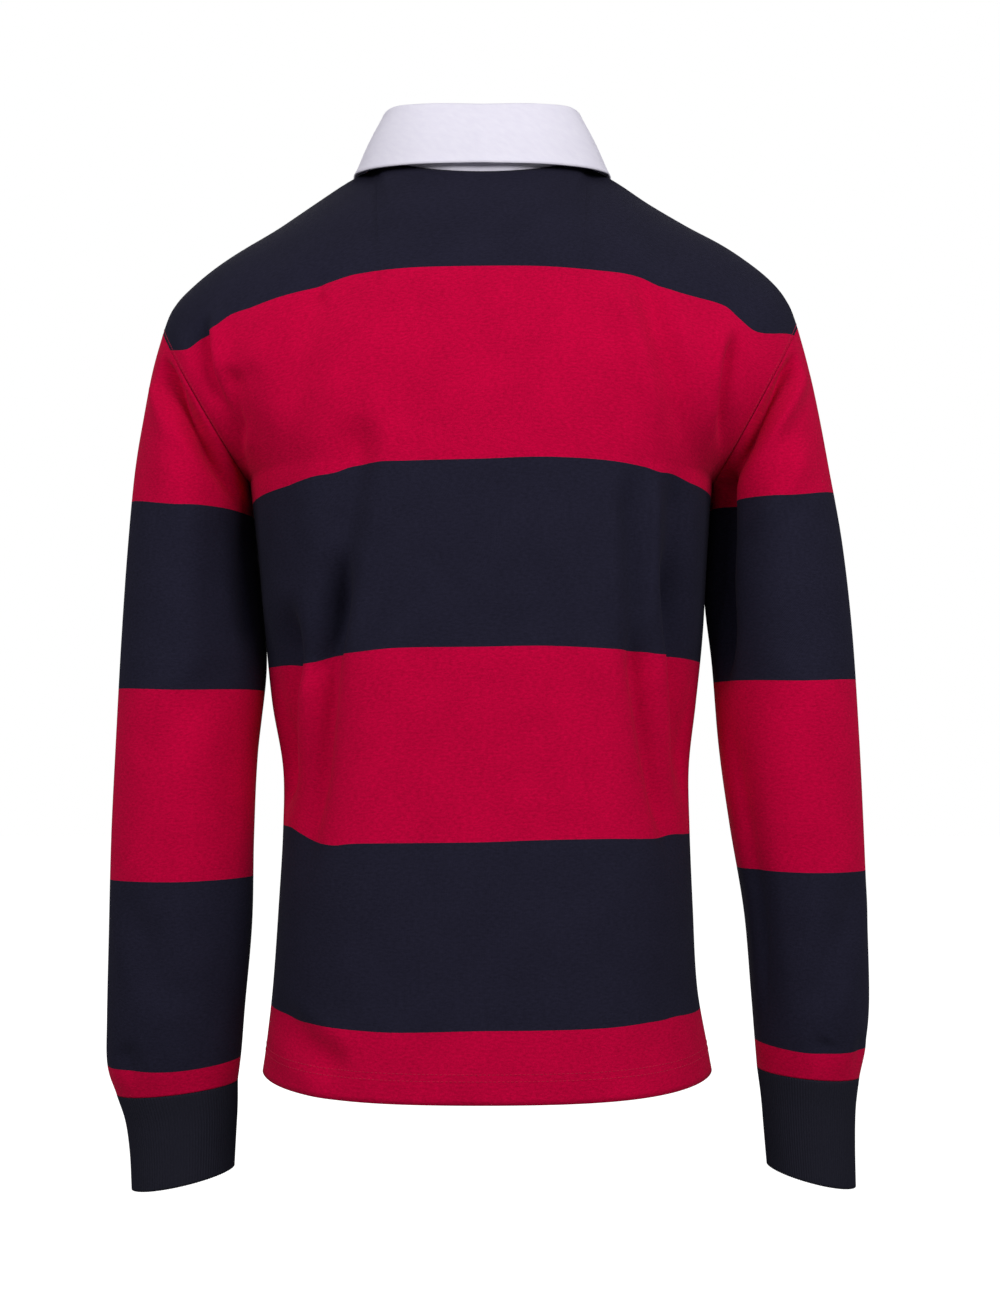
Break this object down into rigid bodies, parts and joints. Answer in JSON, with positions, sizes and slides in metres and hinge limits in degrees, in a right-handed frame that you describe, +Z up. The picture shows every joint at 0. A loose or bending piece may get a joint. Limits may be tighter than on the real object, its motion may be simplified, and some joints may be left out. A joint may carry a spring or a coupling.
{
  "type": "long-sleeved rugby shirt, worn shape with nobody in it",
  "caption": "Hollow long-sleeved rugby shirt in red and navy hoops, with a white turned-down collar, a buttoned placket and ribbed cuffs.",
  "frame": {"origin": "midway between the two neck points, where the neck seam meets the shoulder seams, at their height: where the wearer's shoulders hold the shirt up", "axes": "+Z up along the body, -Y the wearer's front, +X the wearer's left arm"},
  "size_m": [0.6096, 0.2691, 0.8791],
  "materials": {
    "hooped_jersey": "heavy cotton jersey with red and navy hoops knitted in, matt",
    "navy_rib": "knitted cotton rib, matt",
    "white_twill": "woven cotton twill, matt",
    "white_rubber": "moulded rubber, satin"
  },
  "bodies": {
    "root": {"back_panel": "hooped_jersey", "front_panel": "hooped_jersey", "sleeve_left": "hooped_jersey", "sleeve_right": "hooped_jersey", "cuff_left": "navy_rib", "cuff_right": "navy_rib", "collar": "white_twill", "placket_under": "white_twill", "placket_over": "white_twill", "button_top": "white_rubber", "button_middle": "white_rubber", "button_low": "white_rubber"}
  },
  "joints": []
}
